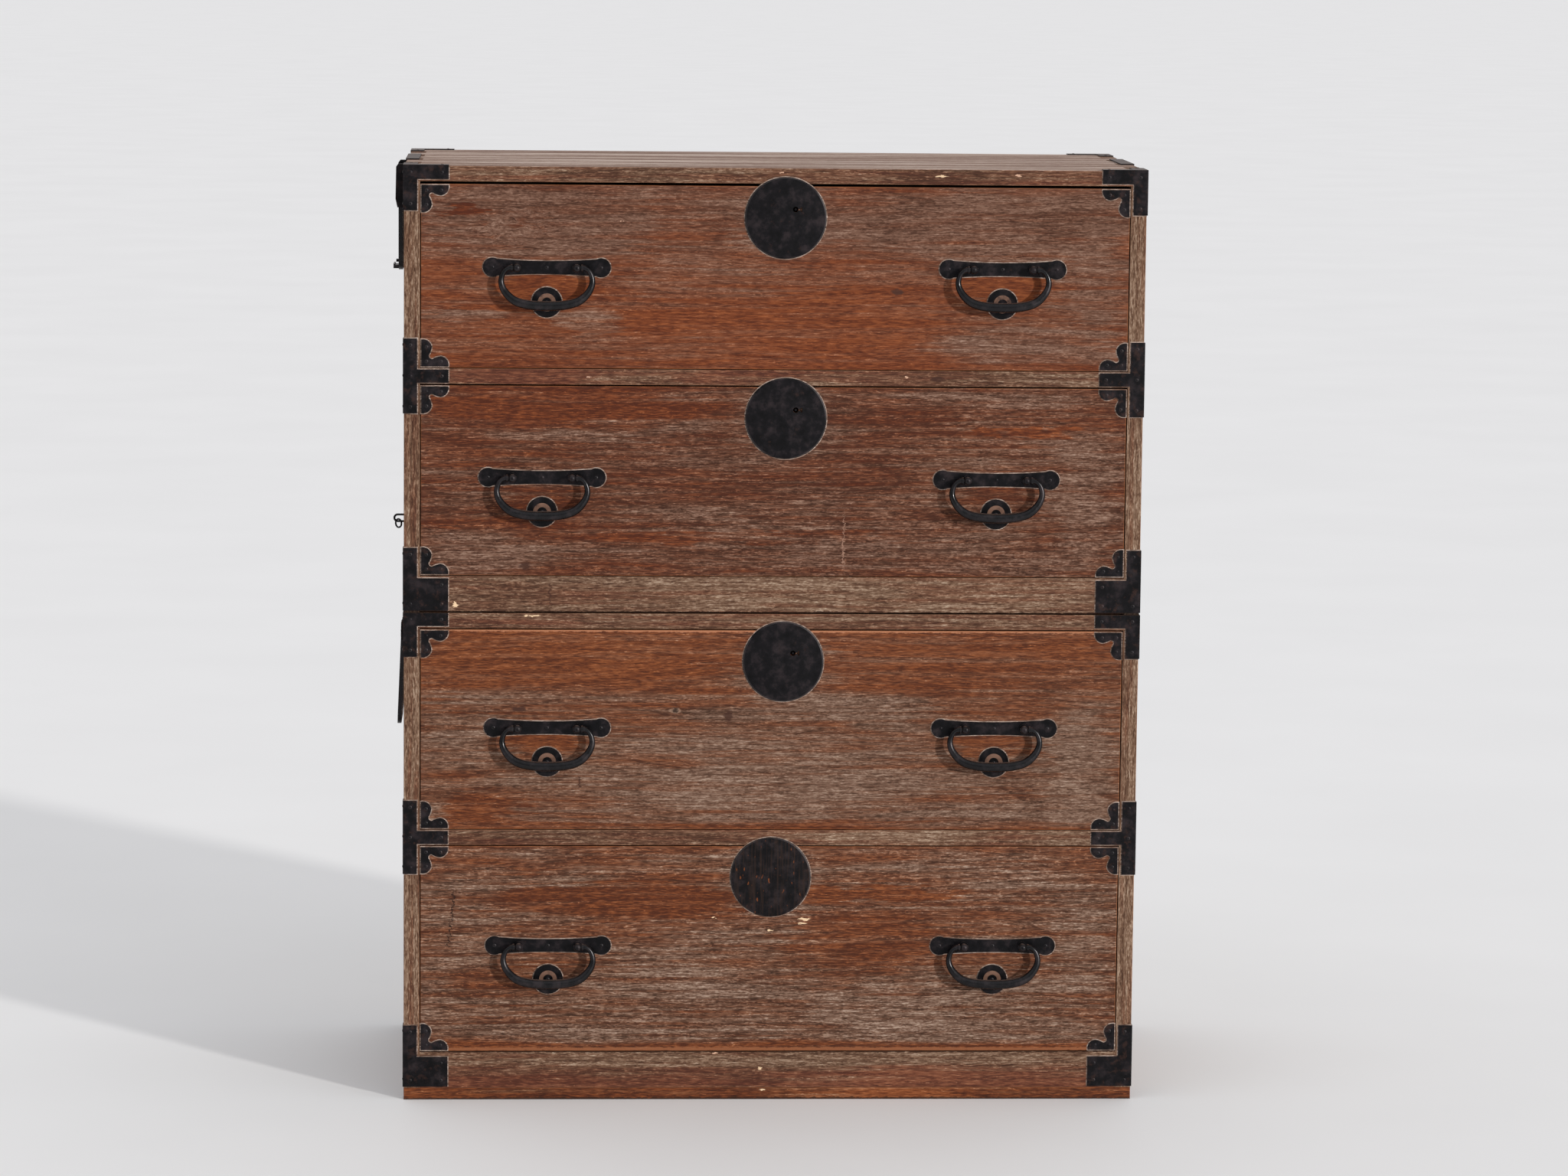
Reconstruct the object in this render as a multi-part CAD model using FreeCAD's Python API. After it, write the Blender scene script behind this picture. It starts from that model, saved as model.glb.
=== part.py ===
import FreeCAD, Part
import math
import os

os.makedirs("parts", exist_ok=True)

# Isho clothing chest: two wooden cases, one standing on the other, with two full-width drawers each.
# Millimetres, +Z up. The origin is on the floor under the middle of the chest, and the fronts face -Y.
# The drawers are numbered from the top.

# Case boards
case_width = 909.0
case_depth = 440.0
side_thickness = 19.5
top_thickness = 19.0
shelf_thickness = 19.2
floor_thickness = 12.0
back_thickness = 9.0
rail_thickness = 20.0
batten_width = 40.0
housing_depth = 6.0
rebate_width = 10.0
arris = 1.0
finger_count = 9
back_plank_count = 3

# Heights, from the floor up
plinth_height = 14.8
lower_rail_height = 46.0
drawer_4_opening = 261.2
drawer_3_opening = 251.8
upper_rail_height = 46.0
drawer_2_opening = 236.8
drawer_1_opening = 228.3
case_seam = 1.7

# Drawers
locked_drawers = (1, 2, 3)
front_thickness = 18.0
drawer_side_thickness = 10.0
drawer_back_thickness = 9.0
drawer_bottom_thickness = 6.0
drawer_1_top_gap = 3.2
drawer_2_top_gap = 1.8
drawer_3_top_gap = 1.7
drawer_4_top_gap = 1.3
drawer_side_gap = 1.2
drawer_front_rise = 0.9
drawer_rear_gap = 2.0
drawer_side_drop = 9.0
front_rebate = 10.0
bottom_rebate = 8.0

# Case irons
iron_thickness = 1.2
iron_band = 16.2
iron_arm = 54.5
iron_tee_reach = 46.0
iron_foot_reach = 77.6
lower_foot_iron_rise = 1.7
lower_foot_iron_drop = 6.4
upper_foot_iron_rise = 3.0
upper_foot_iron_drop = 3.0

# Round nail heads
nail_radius = 2.2
nail_rise = 0.8

# Scalloped irons at the drawer corners
cloud_arm = 33.0
cloud_depth = 12.6
cloud_margin = 1.3
cloud_side_margin = 0.7
cloud_arm_shares = (1.0, 0.925, 0.72, 0.59, 0.47, 0.30)
cloud_depth_shares = (0.0, 0.72, 1.0, 0.93, 0.80, 0.83)
cloud_nail_share = 0.73

# Locks and their round plates
lock_plate_radius = 49.9
lock_plate_edge = 1.4
lock_plate_bevel = 1.6
lock_plate_rise = 3.4
lock_drop = 38.4
lock_case_width = 60.0
lock_case_height = 50.0
lock_case_depth = 12.0
lock_case_wall = 1.5
lock_case_drop = 3.0
bolt_width = 16.0
bolt_thickness = 4.0
bolt_drop = 0.5
bolt_clearance = 0.3
mortise_depth = 9.0
mortise_clearance = 1.0
key_side = 12.0
key_rise = 10.5
key_hole_radius = 3.4
key_slot_length = 8.0
key_slot_width = 2.0
key_tee_height = 5.6
key_pin_radius = 1.3
strike_width = 36.0
strike_height = 7.0
strike_depth = 32.0

# Drawer handles: plate, posts, bail and the striker under it
plate_length = 156.0
plate_lobe_radius = 11.6
plate_waist = 15.6
plate_shoulder_share = 0.92
plate_thickness = 1.5
post_spacing = 73.0
post_stem_radius = 3.6
post_foot_radius = 5.6
post_foot_height = 1.6
knob_radius = 5.0
pivot_out = 13.0
bail_pin_radius = 2.4
bail_pin_clearance = 0.08
bail_end_gap = 0.4
bail_collar_radius = 4.5
bail_collar_length = 2.0
bail_half_width = 55.6
bail_drop = 46.0
bail_bow = 4.0
bail_neck_radius = 3.0
bail_grip_radius = 5.9
bail_sections = 15
bail_taper = 1.5
bail_x_shares = (0.872, 0.938, 0.982, 1.0, 0.94, 0.84, 0.728, 0.5, 0.26, 0.0)
bail_z_shares = (0.025, 0.10, 0.21, 0.34, 0.585, 0.74, 0.85, 0.95, 0.99, 1.0)
striker_radius = 18.5
striker_thickness = 1.6
striker_drop = 42.6
washer_radius = 11.0
washer_bore = 6.2
washer_thickness = 0.8

# Pole handles on the sides
pole_half_width = 52.0
pole_bar_width = 13.0
pole_corner_radius = 22.0
pole_ear_thickness = 3.0
pole_ear_gap = 0.3
pole_pin_clearance = 0.06
pole_plate_thickness = 1.5
pole_plate_margin = 5.0
pole_flange = 15.0
ear_x_shares = (0.78, 0.95, 1.0, 0.84)
ear_z_shares = (1.0, 0.88, -0.6, -1.0)
pole_lip_width = 36.0
pole_lip_thickness = 4.2
pole_lip_reach = 7.4
pole_lip_height = 5.9
pole_peg_radius = 2.0
pole_peg_rise = 9.0
pole_peg_reach = 4.3
upper_pole = {
    "pivot_drop": 33.0, "pivot_out": 8.2, "eye_radius": 5.0, "pin_radius": 2.6, "drop": 106.0,
    "bar_thickness": 5.2, "lean": 0.0, "ear_rise": 27.0, "ear_reach": 14.5,
}
lower_pole = {
    "pivot_drop": 44.0, "pivot_out": 4.9, "eye_radius": 3.0, "pin_radius": 1.6, "drop": 122.0,
    "bar_thickness": 4.8, "lean": 5.0, "ear_rise": 12.0, "ear_reach": 7.8,
}

# Staple and small ring low on the left side of the upper case
staple_wire_radius = 1.3
staple_height = 8.4
staple_reach = 15.5
staple_rise = 106.0
staple_back = 100.0
ring_radius = 5.2
ring_wire_radius = 1.1
ring_play = 0.3
ring_out = 9.0

# Places of locks and handles, as shares of the drawer's half width and height
lock_x_shares = {1: 0.026, 2: 0.032, 3: 0.031, 4: 0.001}
handle_x_shares = {1: (-0.646, 0.642), 2: (-0.657, 0.633), 3: (-0.640, 0.637), 4: (-0.635, 0.642)}
handle_z_shares = {1: (0.552, 0.557), 2: (0.521, 0.518), 3: (0.513, 0.514), 4: (0.519, 0.518)}

# Values that follow from the ones above
front = -case_depth / 2
back = case_depth / 2
outer = case_width / 2
inner = outer - side_thickness
drawer_half = inner - drawer_side_gap
post_x = post_spacing / 2
overrun = iron_thickness
same_place = iron_thickness / 100


def case_levels(base, rail_height, low_opening, high_opening, foot_rise, foot_drop):
    """Heights of a case's boards and of its foot irons, from its base up."""
    shelf_low = base + rail_height + low_opening
    shelf = shelf_low + shelf_thickness
    top_low = shelf + high_opening
    return {"base": base, "floor": base + rail_height, "shelf_low": shelf_low, "shelf": shelf,
            "top_low": top_low, "top": top_low + top_thickness,
            "foot_low": base + foot_rise, "foot_high": base + rail_height - foot_drop}


lower = case_levels(plinth_height, lower_rail_height, drawer_4_opening, drawer_3_opening,
                    lower_foot_iron_rise, lower_foot_iron_drop)
upper = case_levels(lower["top"], upper_rail_height, drawer_2_opening, drawer_1_opening,
                    upper_foot_iron_rise, upper_foot_iron_drop)
drawer_floors = {1: upper["shelf"], 2: upper["floor"], 3: lower["shelf"], 4: lower["floor"]}
drawer_openings = {1: drawer_1_opening, 2: drawer_2_opening, 3: drawer_3_opening, 4: drawer_4_opening}
drawer_top_gaps = {1: drawer_1_top_gap, 2: drawer_2_top_gap, 3: drawer_3_top_gap, 4: drawer_4_top_gap}


def vector(x, y, z):
    return FreeCAD.Vector(x, y, z)


def block(x, y, z):
    """Block between the pairs x, y and z."""
    return Part.makeBox(x[1] - x[0], y[1] - y[0], z[1] - z[0], vector(x[0], y[0], z[0]))


def moved(shape, x, y, z):
    copy = shape.copy()
    copy.translate(vector(x, y, z))
    return copy


def mirrored(shape, x, y):
    """Mirror image across the plane through the origin with the normal (x, y, 0)."""
    return shape.mirror(vector(0, 0, 0), vector(x, y, 0))


def joined(shapes):
    return shapes[0].fuse(list(shapes[1:])).removeSplitter()


def eased(shape, planes):
    """Round the straight edges that lie in any of the planes, each an axis letter and a place."""
    edges = []
    for edge in shape.Edges:
        for axis, place in planes:
            if all(abs(getattr(vertex.Point, axis) - place) < same_place for vertex in edge.Vertexes):
                edges.append(edge)
                break
    return shape.makeFillet(arris, edges)


def outline_face(steps, place):
    """Face bounded by steps (end) or (middle, end) from the last end on, with place giving the 3-D point."""
    edges = []
    start = steps[-1][-1]
    for step in steps:
        if len(step) == 1:
            edges.append(Part.makeLine(place(*start), place(*step[0])))
        else:
            edges.append(Part.Arc(place(*start), place(*step[0]), place(*step[1])).toShape())
        start = step[-1]
    return Part.Face(Part.Wire(edges))


def export(node, solids):
    for solid in solids:
        if not solid.isValid() or len(solid.Solids) != 1:
            raise ValueError("bad solid in " + node)
    shape = solids[0] if len(solids) == 1 else Part.makeCompound(solids)
    shape.exportStep("parts/" + node + ".step")


def lock_place(number):
    """X and Z of a lock plate's centre."""
    top = drawer_floors[number] + drawer_openings[number] - drawer_top_gaps[number]
    return lock_x_shares[number] * drawer_half, top - lock_drop


def handle_places(number):
    """X and Z of a drawer's two handle pivots."""
    height = drawer_openings[number] - drawer_top_gaps[number]
    return [(x * drawer_half, drawer_floors[number] + z * height)
            for x, z in zip(handle_x_shares[number], handle_z_shares[number])]


def dome(radius, rise, at, direction):
    """Shallow dome whose flat base has its centre at the point, facing the direction."""
    ball = (radius ** 2 + rise ** 2) / (2 * rise)
    seat = ball - rise
    start = math.degrees(math.asin(seat / ball))
    return Part.makeSphere(ball, at - direction * seat, direction, start, 90, 360)


def nail_head(at, direction):
    return dome(nail_radius, nail_rise, at, direction)


# Case boards

def finger_blocks(levels, x):
    """Every second stretch of the joint between a top board and a side board."""
    pitch = case_depth / finger_count
    places = [front + pitch * index for index in range(0, finger_count, 2)]
    return [block(x, (place, place + pitch), (levels["top_low"], levels["top"])) for place in places]


def left_side(levels, floor_front):
    """Side board, housed for the shelf and the floor, rebated for the back and fingered at the top."""
    board = block((-outer, -inner), (front, back), (levels["base"], levels["top"]))
    board = eased(board, (("y", front), ("y", back)))
    housing = (-inner - housing_depth, -inner + overrun)
    rear = back - back_thickness
    cuts = [
        block(housing, (front - overrun, rear), (levels["shelf_low"], levels["shelf"])),
        block(housing, (floor_front, rear), (levels["floor"] - floor_thickness, levels["floor"])),
        block((-inner - rebate_width, -inner + overrun), (rear, back + overrun),
              (levels["base"] - overrun, levels["top_low"])),
    ]
    return board.cut(cuts + finger_blocks(levels, (-outer - overrun, -inner + overrun)))


def top_board(levels):
    """Full-width board whose ends are fingers that pass through the side boards."""
    board = block((-outer, outer), (front, back), (levels["top_low"], levels["top"]))
    board = eased(board, (("y", front), ("z", levels["top"])))
    pitch = case_depth / finger_count
    notches = []
    for index in range(1, finger_count, 2):
        y = (front + pitch * index, front + pitch * (index + 1))
        for x in ((-outer - overrun, -inner), (inner, outer + overrun)):
            notches.append(block(x, y, (levels["top_low"] - overrun, levels["top"] + overrun)))
    return board.cut(notches)


def housed_board(y, z):
    """Board between the sides, let into their housings."""
    board = block((-inner - housing_depth, inner + housing_depth), y, z)
    return eased(board, (("y", y[0]),))


def back_planks(levels):
    """Planks nailed into the rebates at the back."""
    height = (levels["top_low"] - levels["base"]) / back_plank_count
    planks = []
    for index in range(back_plank_count):
        low = levels["base"] + height * index
        plank = block((-inner - rebate_width, inner + rebate_width), (back - back_thickness, back),
                      (low, low + height))
        planks.append(eased(plank, (("y", back),)))
    return planks


def mortise(number):
    """Pocket over a drawer's lock for its bolt."""
    x = lock_place(number)[0]
    above = drawer_floors[number] + drawer_openings[number]
    half = bolt_width / 2 + mortise_clearance
    y = front + front_thickness + lock_case_depth / 2
    reach = bolt_thickness / 2 + mortise_clearance
    return block((x - half, x + half), (y - reach, y + reach), (above - overrun, above + mortise_depth))


def strike_shape(number):
    """Outer shape of the angle iron that is let in flush over a drawer's lock."""
    x = lock_place(number)[0]
    above = drawer_floors[number] + drawer_openings[number]
    wide = (x - strike_width / 2, x + strike_width / 2)
    face = block(wide, (front, front + iron_thickness), (above, above + strike_height))
    under = block(wide, (front, front + strike_depth), (above, above + iron_thickness))
    return joined([face, under])


def strike_iron(number):
    return strike_shape(number).cut(mortise(number))


def build_case(name, levels, floor_front, rail_low, lock_numbers):
    """Write a case's boards. Both side boards come from one shape."""
    side = left_side(levels, floor_front)
    top = top_board(levels).cut([strike_shape(lock_numbers[0]), mortise(lock_numbers[0])])
    rear = back - back_thickness
    shelf = housed_board((front, rear), (levels["shelf_low"], levels["shelf"]))
    if len(lock_numbers) > 1:
        shelf = shelf.cut(mortise(lock_numbers[1]))
    floor = housed_board((floor_front, rear), (levels["floor"] - floor_thickness, levels["floor"]))
    rail = block((-inner, inner), (front, front + rail_thickness), (rail_low, levels["floor"]))
    batten = block((-batten_width / 2, batten_width / 2), (front + rail_thickness, rear),
                   (levels["base"], levels["floor"] - floor_thickness))
    export(name + "_left_side", [side])
    export(name + "_right_side", [mirrored(side, 1, 0)])
    export(name + "_top_board", [top])
    export(name + "_shelf", [shelf])
    export(name + "_floor_board", [floor])
    export(name + "_back_planks", back_planks(levels))
    export(name + "_base_rails", [eased(rail, (("y", front),)), batten])


def plinth():
    """Low frame under the lower case, with a runner along its middle."""
    z = (0, plinth_height)
    between = (front + rail_thickness, back - rail_thickness)
    strips = [
        eased(block((-outer, outer), (front, front + rail_thickness), z), (("y", front),)),
        eased(block((-outer, outer), (back - rail_thickness, back), z), (("y", back),)),
    ]
    runner = block((-outer, -outer + rail_thickness), between, z)
    middle = block((-batten_width / 2, batten_width / 2), between, z)
    return strips + [runner, mirrored(runner, 1, 0), middle]


# Irons that wrap the corners of the cases

def wrapped_iron(spans):
    """Plates on the front and the left side, alike on both, from spans (reach, low, high)."""
    plates = []
    for reach, low, high in spans:
        x = (-outer - iron_thickness, -outer + reach)
        y = (front - iron_thickness, front + reach)
        plates.append(block(x, (front - iron_thickness, front), (low, high)))
        plates.append(block((-outer - iron_thickness, -outer), y, (low, high)))
    return plates


def iron_nails(places):
    """Nail heads at (distance from the edge, height) on the front and on the side."""
    nails = []
    for distance, z in places:
        nails.append(nail_head(vector(-outer + distance, front - iron_thickness, z), vector(0, -1, 0)))
        nails.append(nail_head(vector(-outer - iron_thickness, front + distance, z), vector(-1, 0, 0)))
    return nails


def top_iron(levels, flange):
    """Corner iron at a case's top. With a flange it also grips the top face."""
    top = levels["top"] + (iron_thickness if flange else 0)
    plates = wrapped_iron(((iron_arm, levels["top"] - iron_band, top),
                           (iron_band, levels["top"] - iron_arm, top)))
    middle = iron_band / 2
    nails = iron_nails(((middle, levels["top"] - middle), (iron_arm - middle, levels["top"] - middle),
                        (middle, levels["top"] - iron_arm + middle)))
    if flange:
        z = (levels["top"], top)
        plates.append(block((-outer, -outer + iron_arm), (front, front + iron_band), z))
        plates.append(block((-outer, -outer + iron_band), (front, front + iron_arm), z))
        up = vector(0, 0, 1)
        nails.append(nail_head(vector(-outer + iron_arm - middle, front + middle, top), up))
        nails.append(nail_head(vector(-outer + middle, front + iron_arm - middle, top), up))
    return [joined(plates)] + nails


def tee_iron(levels):
    """Tee over the joint of the shelf and the side."""
    centre = (levels["shelf_low"] + levels["shelf"]) / 2
    plates = wrapped_iron(((iron_band, centre - iron_tee_reach, centre + iron_tee_reach),
                           (iron_arm, centre - iron_band / 2, centre + iron_band / 2)))
    middle = iron_band / 2
    reach = iron_tee_reach - middle
    nails = iron_nails(((middle, centre - reach), (middle, centre), (middle, centre + reach),
                        (iron_arm - middle, centre)))
    return [joined(plates)] + nails


def foot_iron(levels):
    """Corner block at a case's base with a band up the edge."""
    low = levels["foot_low"]
    high = levels["foot_high"]
    plates = wrapped_iron(((iron_arm, low, high), (iron_band, low, low + iron_foot_reach)))
    middle = iron_band / 2
    nails = iron_nails(((middle, low + middle), (iron_arm - middle, low + middle),
                        (middle, low + iron_foot_reach - middle), (iron_arm - middle, high - middle)))
    return [joined(plates)] + nails


def case_irons(levels, flange, strike):
    """Irons of the left front edge, copied to the other edges, and the strike. The back has no tees."""
    corners = top_iron(levels, flange) + foot_iron(levels)
    tees = tee_iron(levels)
    rear = [mirrored(shape, 0, 1) for shape in corners]
    left = corners + tees + rear
    return left + [mirrored(shape, 1, 0) for shape in left] + [strike]


# Drawers

def drawer_front(number, low, high):
    """Thick front board, rebated behind for the sides and the bottom, and clear of the board under it."""
    board = eased(block((-drawer_half, drawer_half), (front, front + front_thickness),
                        (low + drawer_front_rise, high)), (("y", front),))
    rear = front + front_thickness
    y = (rear - front_rebate, rear + overrun)
    side = block((-drawer_half - overrun, -drawer_half + drawer_side_thickness), y,
                 (low - overrun, high - drawer_side_drop))
    bottom = block((-drawer_half - overrun, drawer_half + overrun), (rear - bottom_rebate, rear + overrun),
                   (low - overrun, low + drawer_bottom_thickness))
    cuts = [side, mirrored(side, 1, 0), bottom]
    if number in locked_drawers:
        x, z = lock_place(number)
        cuts.append(Part.makeCylinder(key_hole_radius, front_thickness + 2 * overrun,
                                      vector(x + key_side, front - overrun, z + key_rise), vector(0, 1, 0)))
    return board.cut(cuts)


def drawer_box(low, high):
    """Two sides and the back, standing on the bottom board."""
    start = front + front_thickness - front_rebate
    end = back - back_thickness - drawer_rear_gap
    z = (low + drawer_bottom_thickness, high - drawer_side_drop)
    side = block((-drawer_half, -drawer_half + drawer_side_thickness), (start, end), z)
    rear = block((-drawer_half + drawer_side_thickness, drawer_half - drawer_side_thickness),
                 (end - drawer_back_thickness, end), z)
    return [side, mirrored(side, 1, 0), rear]


def drawer_bottom(low):
    start = front + front_thickness - bottom_rebate
    end = back - back_thickness - drawer_rear_gap
    return block((-drawer_half, drawer_half), (start, end), (low, low + drawer_bottom_thickness))


def cloud_iron():
    """Scalloped corner iron with its corner at the origin and its arms along +X and +Z."""
    points = [(cloud_arm * a, cloud_depth * d) for a, d in zip(cloud_arm_shares, cloud_depth_shares)]
    turned = [(z, x) for x, z in points]
    steps = [(points[0],), (points[1], points[2]), (points[3], points[4]), (points[5], turned[4]),
             (turned[3], turned[2]), (turned[1], turned[0]), ((0, 0),)]
    face = outline_face(steps, lambda x, z: vector(x, front - iron_thickness, z))
    plate = face.extrude(vector(0, iron_thickness, 0))
    near = cloud_depth / 2
    far = cloud_arm * cloud_nail_share
    nails = [nail_head(vector(x, front - iron_thickness, z), vector(0, -1, 0))
             for x, z in ((near, near), (far, near), (near, far))]
    return [plate] + nails


def corner_irons(low, high):
    """The scalloped iron at each corner of a drawer front."""
    shapes = []
    for shape in cloud_iron():
        x = -drawer_half + cloud_side_margin
        bottom = moved(shape, x, 0, low + drawer_front_rise + cloud_margin)
        top = moved(shape.mirror(vector(0, 0, 0), vector(0, 0, 1)), x, 0, high - cloud_margin)
        shapes += [bottom, top, mirrored(bottom, 1, 0), mirrored(top, 1, 0)]
    return shapes


def key_cut(x, z):
    """Keyhole through a lock plate: round, with a slot to the right that ends in a tee."""
    y = (front - lock_plate_rise - overrun, front + overrun)
    depth = y[1] - y[0]
    hole = Part.makeCylinder(key_hole_radius, depth, vector(x, y[0], z), vector(0, 1, 0))
    slot = block((x, x + key_slot_length), y, (z - key_slot_width / 2, z + key_slot_width / 2))
    tee = block((x + key_slot_length - key_slot_width, x + key_slot_length), y,
                (z - key_tee_height / 2, z + key_tee_height / 2))
    return joined([hole, slot, tee])


def lock_plate(x, z):
    """Round plate with a bevelled rim and a slightly domed face."""
    out = vector(0, -1, 0)
    flat_radius = lock_plate_radius - lock_plate_bevel
    slope = lock_plate_bevel / 2
    rim = Part.makeCylinder(lock_plate_radius, lock_plate_edge, vector(x, front, z), out)
    bevel = Part.makeCone(lock_plate_radius, flat_radius, slope, vector(x, front - lock_plate_edge, z), out)
    face = front - lock_plate_edge - slope
    crown = dome(flat_radius, lock_plate_rise - lock_plate_edge - slope, vector(x, face, z), out)
    return joined([rim, bevel, crown])


def lock_case(x, high, key):
    """Iron box on the inner face of the drawer front, with the pin that guides the key."""
    y = (front + front_thickness, front + front_thickness + lock_case_depth)
    z = (high - lock_case_drop - lock_case_height, high - lock_case_drop)
    half = lock_case_width / 2
    shell = block((x - half, x + half), y, z)
    hollow = block((x - half + lock_case_wall, x + half - lock_case_wall),
                   (y[0] - overrun, y[1] - lock_case_wall), (z[0] + lock_case_wall, z[1] - lock_case_wall))
    middle = (y[0] + y[1]) / 2
    half_slot = bolt_width / 2 + bolt_clearance
    reach = bolt_thickness / 2 + bolt_clearance
    slot = block((x - half_slot, x + half_slot), (middle - reach, middle + reach),
                 (z[1] - lock_case_wall * 2, z[1] + overrun))
    pin_length = lock_case_depth + front_thickness + lock_plate_edge
    pin = Part.makeCylinder(key_pin_radius, pin_length, vector(key[0], front - lock_plate_edge, key[1]),
                            vector(0, 1, 0))
    return shell.cut([hollow, slot]).fuse(pin).removeSplitter()


def lock_bolt(x, high):
    """Flat bar that stands on the floor of the lock case and rises through its top."""
    y = front + front_thickness + lock_case_depth / 2
    low = high - lock_case_drop - lock_case_height + lock_case_wall
    return block((x - bolt_width / 2, x + bolt_width / 2),
                 (y - bolt_thickness / 2, y + bolt_thickness / 2), (low, high - bolt_drop))


# Drawer handles, made with the pivot above the origin and the drawer's face at y = 0

def handle_plate():
    """Bone-shaped plate with a lobe at each end and a waist between them."""
    lobe_x = plate_length / 2 - plate_lobe_radius
    shoulder = plate_lobe_radius * plate_shoulder_share
    waist = plate_waist / 2
    steps = [((0, waist), (lobe_x, shoulder)), ((lobe_x, -shoulder),),
             ((0, -waist), (-lobe_x, -shoulder)), ((-lobe_x, shoulder),)]
    web = outline_face(steps, lambda x, z: vector(x, -plate_thickness, z))
    web = web.extrude(vector(0, plate_thickness, 0))
    lobes = [Part.makeCylinder(plate_lobe_radius, plate_thickness, vector(x, -plate_thickness, 0),
                               vector(0, 1, 0)) for x in (-lobe_x, lobe_x)]
    return joined([web] + lobes)


def handle_post(x):
    """Foot, stem and ball. The bail's pin turns in a hole through the ball."""
    foot = Part.makeCylinder(post_foot_radius, post_foot_height, vector(x, -plate_thickness, 0),
                             vector(0, -1, 0))
    stem = Part.makeCylinder(post_stem_radius, pivot_out - plate_thickness, vector(x, -plate_thickness, 0),
                             vector(0, -1, 0))
    ball = Part.makeSphere(knob_radius, vector(x, -pivot_out, 0))
    hole = Part.makeCylinder(bail_pin_radius + bail_pin_clearance, knob_radius * 2 + overrun * 2,
                             vector(x - knob_radius - overrun, -pivot_out, 0), vector(1, 0, 0))
    return joined([foot, stem, ball]).cut(hole)


def handle_mounts():
    """Plate, posts and striker of one handle, with their nails."""
    lobe_x = plate_length / 2 - plate_lobe_radius
    out = vector(0, -1, 0)
    striker = Part.makeCylinder(striker_radius, striker_thickness, vector(0, 0, -striker_drop), out)
    top = vector(0, -striker_thickness, -striker_drop)
    washer = Part.makeCylinder(washer_radius, washer_thickness, top, out)
    washer = washer.cut(Part.makeCylinder(washer_bore, washer_thickness, top, out))
    nails = [nail_head(vector(x, -plate_thickness, 0), out) for x in (-lobe_x, 0, lobe_x)]
    return ([handle_plate(), handle_post(-post_x), handle_post(post_x), striker, washer,
             nail_head(top, out)] + nails)


def bail():
    """Forged handle: a tapering bar that hangs from two pins with collars."""
    collar = post_x + knob_radius + bail_end_gap
    right = [vector(collar, -pivot_out, 0), vector(collar + bail_collar_length, -pivot_out, 0)]
    for x, z in zip(bail_x_shares, bail_z_shares):
        right.append(vector(bail_half_width * x, -pivot_out - bail_bow * z * z, -bail_drop * z))
    left = [vector(-point.x, point.y, point.z) for point in reversed(right[:-1])]
    line = Part.BSplineCurve()
    line.interpolate(Points=right + left)
    across = vector(0, 1, 0)
    sections = []
    for index in range(2 * bail_sections + 1):
        at = line.FirstParameter + (line.LastParameter - line.FirstParameter) * index / (2 * bail_sections)
        centre = line.value(at)
        along = line.tangent(at)[0]
        depth_share = max(0, -centre.z / bail_drop)
        radius = bail_neck_radius + (bail_grip_radius - bail_neck_radius) * depth_share ** bail_taper
        turn = FreeCAD.Rotation(across.cross(along), across, along, "ZYX")
        ring = Part.Wire(Part.makeCircle(radius))
        ring.Placement = FreeCAD.Placement(centre, turn)
        sections.append(ring)
    bar = Part.makeLoft(sections, True, False)
    pin_end = post_x - knob_radius
    ends = []
    for side in (-1, 1):
        pin = Part.makeCylinder(bail_pin_radius, collar + bail_collar_length - pin_end,
                                vector(side * pin_end, -pivot_out, 0), vector(side, 0, 0))
        ring = Part.makeCylinder(bail_collar_radius, bail_collar_length,
                                 vector(side * collar, -pivot_out, 0), vector(side, 0, 0))
        ends += [pin, ring]
    return joined([bar] + ends)


# Pole handles, made for the left side with the side's face at x = 0 and the pivot at z = 0

def pole_brackets(size, top):
    """Plate with two pairs of ears and their pins. top is the height of the case's top over the pivot."""
    half = pole_half_width + pole_bar_width / 2 + pole_ear_gap + pole_ear_thickness
    low = -size["ear_rise"]
    long_half = half + pole_plate_margin
    plates = [block((-pole_plate_thickness, 0), (-long_half, long_half),
                    (low - pole_plate_margin, top["plate"]))]
    if top["flange"]:
        plates.append(block((-pole_plate_thickness, pole_flange), (-long_half, long_half),
                            (top["plate"], top["plate"] + pole_plate_thickness)))
    seat = pole_plate_thickness / 2
    rise = size["ear_rise"]
    ear_steps = [((-size["ear_reach"] * x, rise * z),) for x, z in zip(ear_x_shares, ear_z_shares)]
    ear_steps += [((-seat, low),), ((-seat, rise),)]
    pins = []
    for leg in (-pole_half_width, pole_half_width):
        for side in (-1, 1):
            y = leg + side * (pole_bar_width / 2 + pole_ear_gap) - (pole_ear_thickness if side < 0 else 0)
            ear = outline_face(ear_steps, lambda x, z, y=y: vector(x, y, z))
            plates.append(ear.extrude(vector(0, pole_ear_thickness, 0)))
        span = pole_bar_width + 2 * (pole_ear_gap + pole_ear_thickness)
        pins.append(Part.makeCylinder(size["pin_radius"], span,
                                      vector(-size["pivot_out"], leg - span / 2, 0), vector(0, 1, 0)))
    return [joined(plates).cut(pins)] + pins


def rounded_loop(half_width, drop, radius, depth):
    """U-shaped slab, round at its two lower corners, from z = 0 down, through the whole depth in x."""
    bend = radius * (1 - math.sqrt(0.5))
    side = half_width - radius
    steps = [((-half_width, -drop + radius),), ((-half_width + bend, -drop + bend), (-side, -drop)),
             ((side, -drop),), ((half_width - bend, -drop + bend), (half_width, -drop + radius)),
             ((half_width, 0),), ((-half_width, 0),)]
    face = outline_face(steps, lambda y, z: vector(-depth, y, z))
    return face.extrude(vector(depth, 0, 0))


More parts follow.
